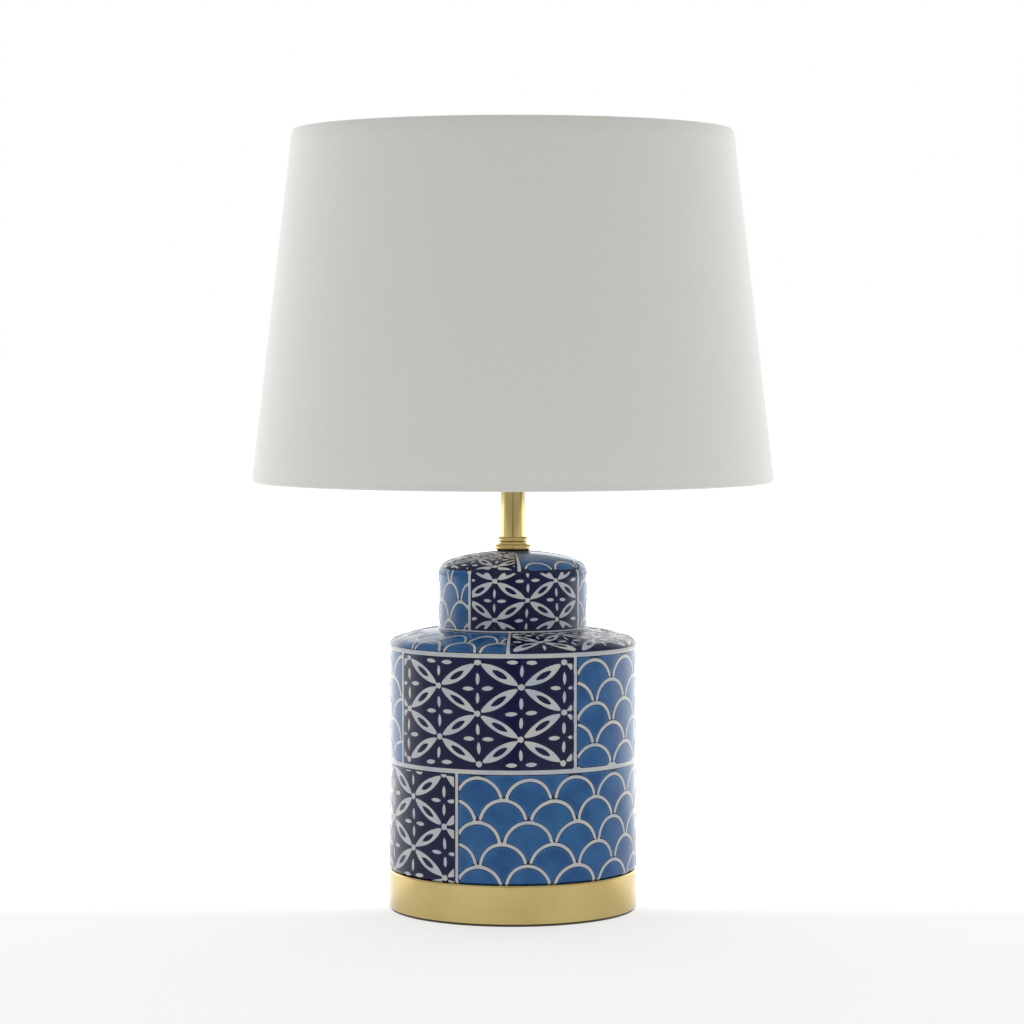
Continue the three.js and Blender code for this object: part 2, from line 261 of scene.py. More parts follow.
def glaze(name, first, second, roughness=0.1, halo=None):
    """Glossy glaze. halo is the paler tone that it thins to beside a raised line."""
    material, _ = new_material(name, roughness, IOR=1.5, Specular_IOR_Level=0.22)
    nodes = Nodes(material)
    pool = nodes.noise(62, 2, distortion=0.4)
    tone = nodes.mix(nodes.range(pool, 0.28, 0.72), first, second)
    if halo:
        edge = nodes.range(nodes.attribute("depth"), 0.0, 0.45, 0.75, 0.0)
        brush = nodes.range(nodes.noise(140, 2), 0.25, 0.75, 0.35, 1.0)
        tone = nodes.mix(nodes.math("MULTIPLY", edge, brush), tone, halo)
    nodes.color(tone)
    nodes.roughness(nodes.range(nodes.noise(300, 2), 0.3, 0.7, roughness * 0.8, roughness * 1.3))
    nodes.bump(nodes.noise(160, 1), 0.00006)
    return material


def brass(name, first, second, roughness, spun):
    """Lacquered brass with faint turned lines and a slightly uneven polish."""
    material, _ = new_material(name, roughness, 1.0)
    nodes = Nodes(material)
    nodes.color(nodes.mix(nodes.range(nodes.noise(24, 4), 0.3, 0.7), first, second))
    lines = nodes.noise(spun, 2, stretch=(0.02, 0.02, 1))
    smudge = nodes.noise(40, 3)
    nodes.roughness(nodes.range(smudge, 0.3, 0.7, roughness * 0.85, roughness * 1.2))
    nodes.bump(lines, 0.000012)
    return material


def weave(name, first, second, thread, depth, sheen, hems):
    """Plain-woven cloth with slubs in the yarn, over a UV map in metres, rolled at two heights, the hems,
    where shade is painted on as a darker tone.
    """
    material, _ = new_material(name, 0.85, Sheen_Weight=sheen, Sheen_Roughness=0.45)
    nodes = Nodes(material)
    uv = nodes.add("ShaderNodeUVMap", uv_map="cloth").outputs[0]
    threads = tau / 20 / thread  # at scale 1, a wave texture has 20 / tau bands in a metre
    warp = nodes.wave(threads, uv, "X")
    weft = nodes.wave(threads, uv, "Y")
    slub = nodes.noise(900, 2, stretch=(1, 1, 0.15))
    cloud = nodes.noise(9, 2)
    height = nodes.math("ADD", nodes.math("MULTIPLY", warp, weft), nodes.math("MULTIPLY", slub, 0.2))
    mottle = nodes.math("MULTIPLY", nodes.range(slub, 0.3, 0.7), nodes.range(cloud, 0.2, 0.8, 0.5, 1.0))
    tone = nodes.mix(mottle, first, second)
    up = nodes.add("ShaderNodeSeparateXYZ")
    nodes.link(uv, up.inputs[0])
    bottom, top = hems
    # Painted shade: the cloth darkens towards (120, 118, 112) on the lower rolled hem, and faintly below the
    # upper one, where the roll turns away from the light.
    painted_hem_shade = nodes.math("MAXIMUM", nodes.range(up.outputs[1], bottom, bottom + 0.004, 1.0, 0.0),
                         nodes.math("MULTIPLY", nodes.range(up.outputs[1], top - 0.012, top - 0.003), 0.25))
    nodes.color(nodes.mix(nodes.math("MULTIPLY", painted_hem_shade, 0.22), tone, (120, 118, 112)))
    nodes.bump(height, depth)
    return material


def felted(name, first, second):
    material, _ = new_material(name, 0.95, Sheen_Weight=0.3)
    nodes = Nodes(material)
    fibre = nodes.noise(1400, 4, distortion=1.5)
    nodes.color(nodes.mix(nodes.range(fibre, 0.3, 0.7), first, second))
    nodes.bump(fibre, 0.0004)
    return material


TWO_TONED = {  # two colours, roughness, lumps in a metre, metallic, grains in a metre
    "biscuit": ((226, 222, 212), (212, 206, 194), 0.5, 30, 0, 900),
    "liner_sheet": ((236, 235, 230), (233, 232, 227), 0.5, 20, 0, 400),
    "board": ((126, 98, 68), (100, 76, 52), 0.85, 260, 0, 1500),
    "steel": ((190, 192, 195), (170, 172, 176), 0.32, 90, 1, 1200),
    "black_rubber": ((34, 33, 32), (24, 23, 23), 0.75, 120, 0, 1500),
    "black_resin": ((30, 30, 32), (22, 22, 24), 0.38, 60, 0, 2500),
    "porcelain": ((238, 236, 229), (230, 227, 218), 0.25, 60, 0, 800),
    "contact_brass": ((214, 182, 110), (196, 160, 88), 0.3, 120, 1, 0),
    "white_wire": ((236, 235, 230), (226, 224, 218), 0.4, 150, 0, 1800),
    "opal_glass": ((246, 245, 240), (240, 238, 232), 0.16, 40, 0, 0),
    "cap_metal": ((206, 207, 209), (188, 189, 192), 0.26, 90, 1, 0),
}


def make_materials():
    plain = {name: two_tone(name, *looks) for name, looks in TWO_TONED.items()}
    return plain | {
        "glaze_white": glaze("glaze_white", (196, 197, 193), (178, 185, 197), 0.12),
        "glaze_outline": glaze("glaze_outline", (24, 28, 48), (38, 42, 62), 0.12),
        "glaze_navy": glaze("glaze_navy", (7, 13, 52), (13, 20, 60), 0.1, halo=(30, 34, 68)),
        "glaze_blue": glaze("glaze_blue", (28, 76, 129), (42, 97, 147), 0.1, halo=(64, 118, 170)),
        "polished_brass": brass("polished_brass", (199, 179, 122), (191, 169, 111), 0.08, 4000),
        # The cloth's two rolled hems, at these heights, carry painted shade.
        "shade_cloth": weave("shade_cloth", (230, 228, 223), (227, 225, 219), 0.0005, 0.000015,
                             sheen=0.55, hems=(0.271, 0.493)),
        "felt": felted("felt", (86, 74, 64), (62, 52, 45)),
    }


make_camera()
material_of = make_materials()
make_floor()
make_dark_cards()
make_world()


# Outlines

def arc(centre, radii, start, stop, steps):
    """Points along a circular or elliptic arc, from start to stop in degrees."""
    turns = np.radians(np.linspace(start, stop, steps + 1))
    return [(centre[0] + radii[0] * cos(t), centre[1] + radii[1] * sin(t)) for t in turns]


def bezier(first, first_handle, last_handle, last, steps):
    points = [np.array(p, float) for p in (first, first_handle, last_handle, last)]
    curve = []
    for t in np.linspace(0, 1, steps + 1):
        weights = ((1 - t) ** 3, 3 * t * (1 - t) ** 2, 3 * t * t * (1 - t), t ** 3)
        curve.append(tuple(sum(weight * point for weight, point in zip(weights, points))))
    return curve


def rounded(corners):
    """A closed outline from (radius, height) corners; a third number rounds that corner off."""
    outline, steps = [], 4
    for i, corner in enumerate(corners):
        point = np.array(corner[:2], float)
        if len(corner) == 2:
            outline.append(tuple(point))
            continue
        sides = [np.array(corners[j % len(corners)][:2], float) - point for j in (i - 1, i + 1)]
        start, stop = [point + side * min(corner[2] / np.linalg.norm(side), 0.48) for side in sides]
        for t in np.linspace(0, 1, steps + 1):
            outline.append(tuple((1 - t) ** 2 * start + 2 * t * (1 - t) * point + t * t * stop))
    return outline


def span(node):
    """A round node's outer radius, bottom and top in millimetres."""
    low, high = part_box(node)
    return high.x / MM, low.z / MM, high.z / MM


# Meshes

SMOOTH_ANGLE = 32  # degrees between two faces, past which their edge is sharp


def new_object(name, vertices, faces, smooth_angle=SMOOTH_ANGLE):
    mesh = bpy.data.meshes.new(name)
    mesh.from_pydata(vertices, [], faces)
    shell = bmesh.new()
    shell.from_mesh(mesh)
    bmesh.ops.remove_doubles(shell, verts=shell.verts, dist=1e-7)
    loose = [edge for edge in shell.edges if not edge.link_faces]
    bmesh.ops.delete(shell, geom=loose, context="EDGES")
    bmesh.ops.recalc_face_normals(shell, faces=shell.faces)
    shell.to_mesh(mesh)
    shell.free()
    mesh.shade_smooth()
    mesh.set_sharp_from_angle(angle=radians(smooth_angle))
    piece = bpy.data.objects.new(name, mesh)
    bpy.context.scene.collection.objects.link(piece)
    return piece


def turned(name, outline, segments=MEDIUM, shape=None):
    """A closed solid turned about Z from a closed outline; shape(radius, height, angle) moves its points."""
    vertices = []
    for i in range(segments):
        angle = tau * i / segments
        for radius, height in outline:
            r = shape(radius, height, angle) if shape else radius
            vertices.append((r * sin(angle) * MM, -r * cos(angle) * MM, height * MM))
    count = len(outline)
    faces = []
    for i in range(segments):
        here, there = i * count, (i + 1) % segments * count
        for j in range(count):
            k = (j + 1) % count
            faces.append((here + j, there + j, there + k, here + k))
    return new_object(name, vertices, faces)


def lay(piece, axis, x, y, z):
    """Turns a piece made about Z so that it lies along X or Y, and moves it, in millimetres."""
    turn = Matrix.Rotation(pi / 2, 4, "Y") if axis == "X" else Matrix.Rotation(-pi / 2, 4, "X")
    piece.data.transform(Matrix.Translation(Vector((x, y, z)) * MM) @ turn)
    return piece


def bar(name, points, radius):
    """A round bar along a smooth path of points in millimetres."""
    curve = bpy.data.curves.new(name, "CURVE")
    curve.dimensions = "3D"
    curve.bevel_depth = radius * MM
    curve.bevel_resolution = 5
    curve.use_fill_caps = True
    path = curve.splines.new("POLY")
    path.points.add(len(points) - 1)
    for point, place in zip(path.points, points):
        point.co = (*(Vector(place) * MM), 1)
    source = bpy.data.objects.new(name + "_path", curve)
    bpy.context.scene.collection.objects.link(source)
    mesh = bpy.data.meshes.new_from_object(source.evaluated_get(bpy.context.evaluated_depsgraph_get()))
    bpy.data.objects.remove(source)
    bpy.data.curves.remove(curve)
    vertices = [v.co.copy() for v in mesh.vertices]
    faces = [tuple(f.vertices) for f in mesh.polygons]
    bpy.data.meshes.remove(mesh)
    return new_object(name, vertices, faces, smooth_angle=50)


def drill(radius, length, segments):
    """A round tool for cut()."""
    return turned("drill", [(0, 0), (radius, 0), (radius, length), (0, length)], segments)


def cut(piece, *tools):
    """Takes the tools' shapes out of the piece."""
    for tool in tools:
        boolean = piece.modifiers.new("cut", "BOOLEAN")
        boolean.operation = "DIFFERENCE"
        boolean.solver = "EXACT"
        boolean.object = tool
        mesh = bpy.data.meshes.new_from_object(piece.evaluated_get(bpy.context.evaluated_depsgraph_get()))
        piece.modifiers.clear()
        old, piece.data = piece.data, mesh
        bpy.data.meshes.remove(old)
        bpy.data.objects.remove(tool)
        mesh.name = piece.name
        mesh.set_sharp_from_angle(angle=radians(SMOOTH_ANGLE))
    return piece


def finish(piece, body, slot, node, material=None):
    """Gives a piece its material, named or else that of its slot, puts it under the body that carries it and
    hides the CAD node that it stands for.
    """
    piece.data.materials.clear()
    piece.data.materials.append(material_of[material or slot])
    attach(piece, body)
    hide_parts(node)


# The jar's decoration: bands of patches, each a lattice of petals or rows of scales between white lines

class Band(NamedTuple):
    top: float  # height of the line that ends the band
    line: float  # width of that line, or 0 for a thin dark one
    radius: float  # where the band's arc lengths are measured
    step: tuple  # half a petal lattice: degrees round, millimetres up
    whole_rows: int  # petals stop at this many steps down from the first row of dots, or 0 for no stop
    scale: tuple  # half a scale's pitch in degrees, and the rise of a row
    first_row: int  # the number of the top row of scales
    size: float  # of the drawn petals and lines, against the body's
    patches: tuple  # of (kind, first edge, lattice angle, lattice height), edges and angles in degrees


BANDS = (
    Band(95.3, 2.7, 78.5, (19.4, 16.25), 0, (11.45, 13.5), 0, 1.0, (
        ("scales", -26.2, -15.9, 91.2), ("petals", 85.8, 102, 93), ("scales", 153.8, 166, 91.2),
        ("petals", 265.8, 327.3, 93))),
    Band(167.0, 2.7, 78.5, (19.7, 15.7), 4, (11.45, 13.2), 0, 1.0, (
        ("petals", -61, -15.9, 163), ("scales", 29.3, 40, 163.2), ("petals", 118, 138, 163),
        ("scales", 208, 275.5, 162.8))),
    Band(179.3, 0.9, 68, (17, 13), 0, (9, 12.5), 0, 0.82, (
        ("petals", -2.3, 15, 174.6), ("scales", 88, 97, 177.1), ("petals", 178, 195, 174.6),
        ("scales", 268, 343.8, 177.1))),
    Band(217.0, 0, 47.3, (24.2, 12.2), 0, (12.4, 12.0), -1, 0.78, (
        ("petals", -35, -13.6, 211), ("scales", 60, 72, 209), ("petals", 145, 169, 211),
        ("scales", 240, 302.6, 209))),
    Band(240.0, 0, 40, (24, 9.4), 0, (13.2, 7.6), 0, 0.7, (
        ("scales", 5, 21, 221.6), ("petals", 95, 107, 220), ("scales", 185, 198, 221.6),
        ("petals", 275, 297, 220))),
)
OUTLINE = 0.55  # width of the dark line beside a white one
BEVEL = 0.6  # how far in from its edge a white shape reaches its full height
RELIEF = 0.3  # how far white shapes stand proud
SKIN = 0.4  # thickness of the glaze
SEAM_LINE = 1.9  # width of the white line between two patches
PETAL_MARGIN = 1.2  # how far petals keep from the white lines round their patch
POOL = 5  # distance from a white line at which the depth attribute reaches 1


def lens(x, y, half_length, half_width):
    """Signed distance to a pointed oval that lies along x."""
    radius = (half_length ** 2 + half_width ** 2) / (2 * half_width)
    offset = radius - half_width
    x, y = np.abs(x), np.abs(y)
    past_tip = (x - half_length) * offset > y * half_length
    return np.where(past_tip, np.hypot(x - half_length, y), np.hypot(x, y + offset) - radius)


def petals(u, v, step_u, step_v, whole_rows, size):
    """Distance to a lattice of pointed petals round dots, with a four-leaf cross in each opening."""
    past_rows = np.maximum(-v, v - whole_rows * step_v) - 0.4 if whole_rows else np.full_like(v, -99.0)
    u = np.abs((u + step_u) % (2 * step_u) - step_u)
    v = np.abs((v + step_v) % (2 * step_v) - step_v)
    length = hypot(step_u, step_v)
    along = ((u - step_u / 2) * step_u + (v - step_v / 2) * step_v) / length
    across = ((v - step_v / 2) * step_u - (u - step_u / 2) * step_v) / length
    petal = lens(along, across, length / 2 - 1.6 * size, 3.6 * size)
    eye = lens(along, across, 5.9 * size, 1.75 * size)
    dot, clearing = 2.0 * size, 2.75 * size
    to_dot = np.minimum(np.hypot(u, v), np.hypot(u - step_u, v - step_v))
    white = np.maximum(np.maximum(petal, -eye), np.maximum(clearing - to_dot, past_rows))
    white = np.minimum(white, to_dot - dot)
    for centre_u, centre_v in ((step_u, 0), (0, step_v)):
        x, y = np.abs(u - centre_u), np.abs(v - centre_v)
        level_leaf = lens(x - 6.1 * size, y, 4.1 * size, 1.3 * size)
        upright_leaf = lens(y - 5.7 * size, x, 4.2 * size, 1.15 * size)
        white = np.minimum(white, np.minimum(level_leaf, np.maximum(upright_leaf, past_rows)))
    return white


def scales(u, v, half_pitch, rise, first_row, size):
    """Distance to rows of overlapping round scales. The tops of row 0 are at v = 0, and v runs down."""
    half_line = 1.0 * size
    half_width = half_pitch - half_line - 0.9 * OUTLINE
    height = rise + 0.8 * size

    def from_row(row):
        du = (u - (row % 2) * half_pitch + half_pitch) % (2 * half_pitch) - half_pitch
        dv = np.maximum(height - (v - row * rise), 0)
        f = np.hypot(du / half_width, dv / height)
        slope = np.hypot(du / half_width ** 2, dv / height ** 2)
        return (f - 1) * f / np.maximum(slope, 1e-6)

    nearest = np.maximum(np.floor(v / rise), first_row)
    white = np.full_like(u, 99.0)
    for row in (nearest - 1, nearest, nearest + 1):
        line = np.abs(from_row(row)) - half_line
        covered = half_line + OUTLINE - from_row(row + 1)
        line = np.maximum(line, covered)
        white = np.where(row >= first_row, np.minimum(white, line), white)
    return white


def wrap(angle):
    """The same angle between -180 and 180 degrees."""
    return (angle + 180) % 360 - 180


def hand_wobble(s, angle):
    """How far a painter's hand strays, in millimetres round and up. It has no step at the back."""
    turn = np.radians(angle)
    sway = 0.45 * np.sin(5 * turn + s / 13) + 0.25 * np.sin(11 * turn - s / 7)
    lift = 0.40 * np.sin(7 * turn + s / 17) + 0.25 * np.sin(9 * turn + s / 6)
    return sway, lift


class Decoration:
    """The drawing on the jar, measured along the outside from the heel and in degrees round."""

    def __init__(self, outline):
        points = np.array(outline)
        run = np.hypot(*np.diff(points, axis=0).T)
        self.s = np.concatenate([[0], np.cumsum(run)])
        self.r, self.z = points.T
        self.slope_r = np.gradient(self.r, self.s)
        self.slope_z = np.gradient(self.z, self.s)
        self.lines = [float(np.interp(band.top, self.z, self.s)) for band in BANDS[:-1]]

    def patch_of(self, s, angle):
        """(band, patch) indices at each point."""
        band = np.searchsorted(self.lines, s)
        patch = np.zeros_like(band)
        for b, each in enumerate(BANDS):
            first = each.patches[0][1]
            edges = [p[1] - first for p in each.patches]
            here = band == b
            patch[here] = np.searchsorted(edges, (angle[here] - first) % 360, side="right") - 1
        return band, patch

    def is_scales(self, s, angle):
        band, patch = self.patch_of(s, angle)
        kinds = np.array([[p[0] == "scales" for p in each.patches] for each in BANDS])
        return kinds[band, patch]

    def white(self, s, angle):
        """Signed distance in millimetres to the white drawing, negative inside it."""
        border = np.full_like(s, 99.0)
        for place, band in zip(self.lines, BANDS):
            line = np.abs(s - place) - band.line / 2
            border = np.minimum(border, line if band.line else np.maximum(line, 0.01))
        drawn = np.full_like(s, 99.0)
        bands, patches = self.patch_of(s, angle)
        for b, band in enumerate(BANDS):
            here = bands == b
            per_degree = band.radius * radians(1)
            for edge in (p[1] for p in band.patches):
                side = np.abs(wrap(angle[here] - edge)) * per_degree - SEAM_LINE / 2
                border[here] = np.minimum(border[here], side)
            for p, (kind, _, lattice_angle, lattice_height) in enumerate(band.patches):
                at = here & (patches == p)
                sway, lift = hand_wobble(s[at], angle[at])
                u = wrap(angle[at] - lattice_angle) * per_degree + sway
                v = np.interp(lattice_height, self.z, self.s) - s[at] + lift
                if kind == "petals":
                    step_u, step_v = band.step[0] * per_degree, band.step[1]
                    drawing = petals(u, v, step_u, step_v, band.whole_rows, band.size)
                    drawn[at] = np.maximum(drawing, PETAL_MARGIN - border[at])
                else:
                    half_pitch, rise = band.scale[0] * per_degree, band.scale[1]
                    drawing = scales(u, v, half_pitch, rise, band.first_row, band.size)
                    drawn[at] = np.maximum(drawing, OUTLINE - border[at])
        return np.minimum(border, drawn)

    def place(self, s, angle, height):
        """Points in metres, height above the glaze in millimetres, and the surface's normals."""
        slope_r = np.interp(s, self.s, self.slope_r)
        slope_z = np.interp(s, self.s, self.slope_z)
        r = np.interp(s, self.s, self.r) + slope_z * height
        z = np.interp(s, self.s, self.z) - slope_r * height
        turn = np.radians(angle)
        points = np.stack([r * np.sin(turn), -r * np.cos(turn), z], 1) * MM
        normals = np.stack([slope_z * np.sin(turn), -slope_z * np.cos(turn), -slope_r], 1)
        return points, normals


def relief(distance):
    """Height of the glaze at a signed distance from the white drawing's edge."""
    t = np.clip(-distance / BEVEL, 0, 1)
    return RELIEF * np.sqrt(1 - (1 - t) ** 2)


def clipped_grid(drawing, start, stop, columns):
    """A grid of (angle, s, distance) points over part of the jar, cut along the drawing's contours."""
    angles = np.linspace(-180, 180, columns + 1)
    rows = np.linspace(start, stop, round(stop - start) + 1)
    angle, s = np.meshgrid(angles, rows)
    points = np.stack([angle.ravel(), s.ravel(), drawing.white(s.ravel(), angle.ravel())], 1)
    index = np.arange(len(points)).reshape(angle.shape)
    corners = (index[:-1, :-1], index[:-1, 1:], index[1:, 1:], index[1:, :-1])
    quads = np.stack([c.ravel() for c in corners], 1)
    mesh = bpy.data.meshes.new("grid")
    mesh.from_pydata(points.tolist(), [], quads.tolist())
    sheet = bmesh.new()
    sheet.from_mesh(mesh)
    bpy.data.meshes.remove(mesh)
    for level in (-BEVEL, 0.0, OUTLINE):
        everything = [*sheet.verts, *sheet.edges, *sheet.faces]
        bmesh.ops.bisect_plane(sheet, geom=everything, dist=1e-5, plane_co=(0, 0, level), plane_no=(0, 0, 1))
    sheet.verts.index_update()
    cut_points = np.array([v.co[:] for v in sheet.verts])
    faces = [[v.index for v in f.verts] for f in sheet.faces]
    sheet.free()
    return close_seam(cut_points, faces)


def close_seam(points, faces):
    """Joins the grid's two ends at the back of the jar. The faces' centres are from before they join."""
    back = 179.999
    first = {round(s, 4): i for i, (angle, s, _) in enumerate(points) if angle < -back}
    last = {i: first[round(s, 4)] for i, (angle, s, _) in enumerate(points)
            if angle > back and round(s, 4) in first}
    joined = [[last.get(i, i) for i in face] for face in faces]
    centres = np.array([points[face].mean(axis=0) for face in faces])
    return points, joined, centres


def shell_of(drawing, points, faces, top_height):
    """A closed skin over some faces: vertices, normals, depths and faces."""
    used = sorted({i for f in faces for i in f})
    number = {i: n for n, i in enumerate(used)}
    angle, s, distance = points[used].T
    top, normals = drawing.place(s, angle, top_height(distance))
    under, _ = drawing.place(s, angle, np.full_like(s, -SKIN))
    count = len(used)
    tops = [[number[i] for i in f] for f in faces]
    edges = {(f[k - 1], f[k]) for f in tops for k in range(len(f))}
    walls = [(a, a + count, b + count, b) for a, b in edges if (b, a) not in edges]
    unders = [[i + count for i in reversed(f)] for f in tops]
    depth = np.clip(distance / POOL, 0, 1)
    return (np.concatenate([top, under]), np.concatenate([normals, normals]), np.concatenate([depth, depth]),
            tops + unders + sorted(walls))


def glaze_piece(name, drawing, grids, chosen, top_height, material):
    """One colour of the glaze, from the faces of every grid that chosen picks."""
    vertices, normals, depths, faces = [], [], [], []
    for points, polygons, centres in grids:
        picked = [polygons[i] for i in np.flatnonzero(chosen(centres))]
        start = sum(len(v) for v in vertices)
        v, n, d, f = shell_of(drawing, points, picked, top_height)
        vertices.append(v)
        normals.append(n)
        depths.append(d)
        faces += [[i + start for i in face] for face in f]
    mesh = bpy.data.meshes.new(name)
    mesh.from_pydata(np.concatenate(vertices).tolist(), [], faces)
    mesh.shade_smooth()
    mesh.attributes.new("depth", "FLOAT", "POINT").data.foreach_set("value", np.concatenate(depths))
    mesh.normals_split_custom_set_from_vertices(np.concatenate(normals).tolist())
    piece = bpy.data.objects.new(name, mesh)
    bpy.context.scene.collection.objects.link(piece)
    finish(piece, "stand", "glaze", "ceramic_jar", material)


def jar_outside(radius, foot, crown):
    """The decorated outside, from the heel to the crown."""
    heel, edge, slope = 2.5, 6.5, 173
    neck, shoulder, fillet = 47.3, 178.4, 1.2
    lid_wide, lid_high = 13, 9.6
    turn = (radius - edge, slope - edge)
    shoulder_start = (turn[0] + edge * cos(radians(75)), turn[1] + edge * sin(radians(75)))
    shoulder_handle = (shoulder_start[0] - 9, shoulder_start[1] + 2.4)
    shoulder_end = (neck + fillet, shoulder)
    lid = (neck - lid_wide, crown - 13.9)
    lid_start = (lid[0] + lid_wide * cos(radians(60)), lid[1] + lid_high * sin(radians(60)))
    return [
        *arc((radius - heel, foot + heel), (heel, heel), -82, 0, 8),
        *arc(turn, (edge, edge), 0, 74, 12),
        *bezier(shoulder_start, shoulder_handle, (56, 178), shoulder_end, 16),
        *arc((neck + fillet, shoulder + fillet), (fillet, fillet), 262, 180, 6),
        *arc(lid, (lid_wide, lid_high), 0, 59, 12),
        *bezier(lid_start, (36.5, crown - 3.3), (24, crown - 0.6), (12, crown), 20),
    ]


def without_repeats(outline):
    kept = [outline[0]]
    for point in outline[1:]:
        if hypot(point[0] - kept[-1][0], point[1] - kept[-1][1]) > 0.01:
            kept.append(point)
    return kept


def build_jar():
    radius, foot, crown = span("ceramic_jar")
    outside = without_repeats(jar_outside(radius, foot, crown))
    dense = []
    for (r0, z0), (r1, z1) in zip(outside, outside[1:]):
        steps = max(1, round(hypot(r1 - r0, z1 - z0)))
        dense += [(r0 + (r1 - r0) * t / steps, z0 + (z1 - z0) * t / steps) for t in range(steps)]
    drawing = Decoration(dense + [outside[-1]])
    split = drawing.lines[2]
    grids = [
        clipped_grid(drawing, 0, split, 440),
        clipped_grid(drawing, split, drawing.s[-1], 280),
    ]

    def is_white(centres):
        return centres[:, 2] < 0

    def is_scales(centres):
        return drawing.is_scales(centres[:, 1], centres[:, 0])

    def is_outline(centres):
        near = (centres[:, 2] > 0) & (centres[:, 2] < OUTLINE)
        return near & is_scales(centres)

    def flat(distance):
        return np.zeros_like(distance)

    glaze_piece("glaze_lines", drawing, grids, is_white, relief, "glaze_white")
    glaze_piece("glaze_outlines", drawing, grids, is_outline, flat, "glaze_outline")
    glaze_piece("glaze_blue_scales", drawing, grids,
                lambda c: is_scales(c) & (c[:, 2] > OUTLINE), flat, "glaze_blue")
    glaze_piece("glaze_navy_ground", drawing, grids,
                lambda c: ~is_scales(c) & (c[:, 2] > 0), flat, "glaze_navy")

    gap = 0.02  # between the glaze and the jar under it
    s = np.linspace(0, drawing.s[-1], 160)
    covered, _ = drawing.place(s, np.full_like(s, 90.0), np.full_like(s, -SKIN - gap))
    body = [(x / MM, z / MM) for x, _, z in covered]
    hole = 7
    shell = [
        (hole, foot + 2.5), (56, foot + 2.5), (57.5, foot), (radius - 2.5, foot),
        *body, (12, crown), (hole, crown), (hole, crown - 5), (34.3, crown - 9), (42.3, crown - 16),
        (42.3, 174.4), (69.5, 167.4), (73.5, 162), (73.5, foot + 12), (67.5, foot + 7.5), (hole, foot + 7.5),
    ]
    finish(turned("jar_body", shell, FINE), "stand", "glaze", "ceramic_jar", "biscuit")


build_jar()


# Base, collar and stem

ROD_HOLE = 5.3


def build_base():
    radius, bottom, top = span("brass_base")
    wall, deck, recess, lip, hole = 1.4, 23.4, 75.1, 1.2, 5.6
    pan = rounded([
        (hole, deck - wall), (radius - wall, deck - wall, 0.6), (radius - wall, bottom),
        *arc((radius - 0.5, bottom + 0.5), (0.5, 0.5), -90, 0, 4),
        *arc((radius - lip, top - lip), (lip, lip), 0, 90, 8),
        *arc((recess + lip, top - lip), (lip, lip), 90, 180, 8),
        (recess, deck, 0.5), (hole, deck),
    ])
    bush_low, bush_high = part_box("cable_bush")
    outlet = (bush_low.z + bush_high.z) / 2 / MM
    outlet_hole = lay(drill(4.7, 12, MEDIUM), "Y", 0, radius - 6, outlet)
    finish(cut(turned("base_pan", pan, FINE), outlet_hole), "stand", "polished_brass", "brass_base")

    fringe = 0.6
    pad_radius, pad_bottom, pad_top = span("felt_pad")
    pad_radius += fringe
    pad = rounded([(0, pad_bottom), (pad_radius, pad_bottom, 0.4), (pad_radius, pad_top, 0.3), (0, pad_top)])
    finish(turned("base_pad", pad, FINE), "stand", "felt", "felt_pad")

    start, end = bush_low.y / MM, bush_high.y / MM
    length, flange = end - start, 2.1
    bush = rounded([
        (3.1, 0), (4.4, 0, 0.3), (4.4, length - flange), (6.8, length - flange, 0.2), (6.8, length, 0.9),
        (3.1, length, 0.8),
    ])
    finish(lay(turned("outlet_bush", bush, 64), "Y", 0, start, outlet), "stand", "black_resin", "cable_bush")


def build_stem():
    washer, low, high = span("dome_washer")
    gasket = rounded([(ROD_HOLE, low), (washer, low, 0.5), (washer, high, 0.4), (ROD_HOLE, high)])
    finish(turned("collar_gasket", gasket), "stand", "black_rubber", "dome_washer")

    foot, low, high = span("collar")
    collar = rounded([
        (ROD_HOLE, low), (foot, low, 0.8), (foot, low + 2.6, 0.9), (foot - 1.2, low + 3.1, 0.5),
        (9.2, low + 3.2, 0.4), (8.8, low + 4.5, 0.6), (9.5, low + 5.4, 0.5), (9.5, low + 7.2, 0.7),
        (8.7, high, 0.3), (7.8, high), (7.8, high - 1.8), (ROD_HOLE, high - 1.8),
    ])
    finish(turned("stepped_collar", collar), "stand", "polished_brass", "collar")

    radius, low, high = span("stem_tube")
    pipe = rounded([(6.5, low), (radius, low, 0.2), (radius, high, 0.2), (6.5, high)])
    finish(turned("stem_pipe", pipe), "stand", "polished_brass", "stem_tube")

    radius, low, high = span("stem_cup")
    rim = high - 2
    cup = rounded([
        (ROD_HOLE, low), (6, low, 0.3), (6, rim), (10.8, rim, 0.4), (radius, rim + 0.7, 0.4),
        (radius, high - 0.5, 0.4), (10.8, high, 0.4), (ROD_HOLE, high),
    ])
    finish(turned("stem_cap", cup), "stand", "polished_brass", "stem_cup")


# Screwed and moulded pieces

def hex_nut(name, across_flats, low, high):
    """A hexagonal nut with its corners turned off at both ends."""
    half = across_flats / 2
    corner = half / cos(pi / 6)
    face, slope = 0.95 * half, 0.577
    drop = (corner - face) * slope
    chamfer = [(face + (corner - face) * t, drop * t) for t in (0, 0.35, 0.7, 1)]
    rising = [(r, low + d) for r, d in chamfer]
    falling = [(r, high - d) for r, d in reversed(chamfer)]
    outline = [(ROD_HOLE, low), *rising, *falling, (ROD_HOLE, high)]

    def hexagon(radius, _, angle):
        return min(radius, half / cos((angle + pi / 6) % (pi / 3) - pi / 6))

    return turned(name, outline, MEDIUM, hexagon)


def wall(radius, low, high, pitch):
    """Points up a wall, close enough together for a thread."""
    return [(radius, z) for z in np.linspace(low, high, round((high - low) / pitch * 8) + 1)]


def thread(radii, low, high, pitch, depth):
    """A shape for turned() that cuts a thread into the walls at these radii."""
    def shape(radius, height, angle):
        if not low < height < high or min(abs(radius - r) for r in radii) > 0.01:
            return radius
        run_out = min(1, (height - low) / pitch, (high - height) / pitch)
        return radius - depth * run_out * (0.5 - 0.5 * cos(tau * height / pitch - angle))
    return shape


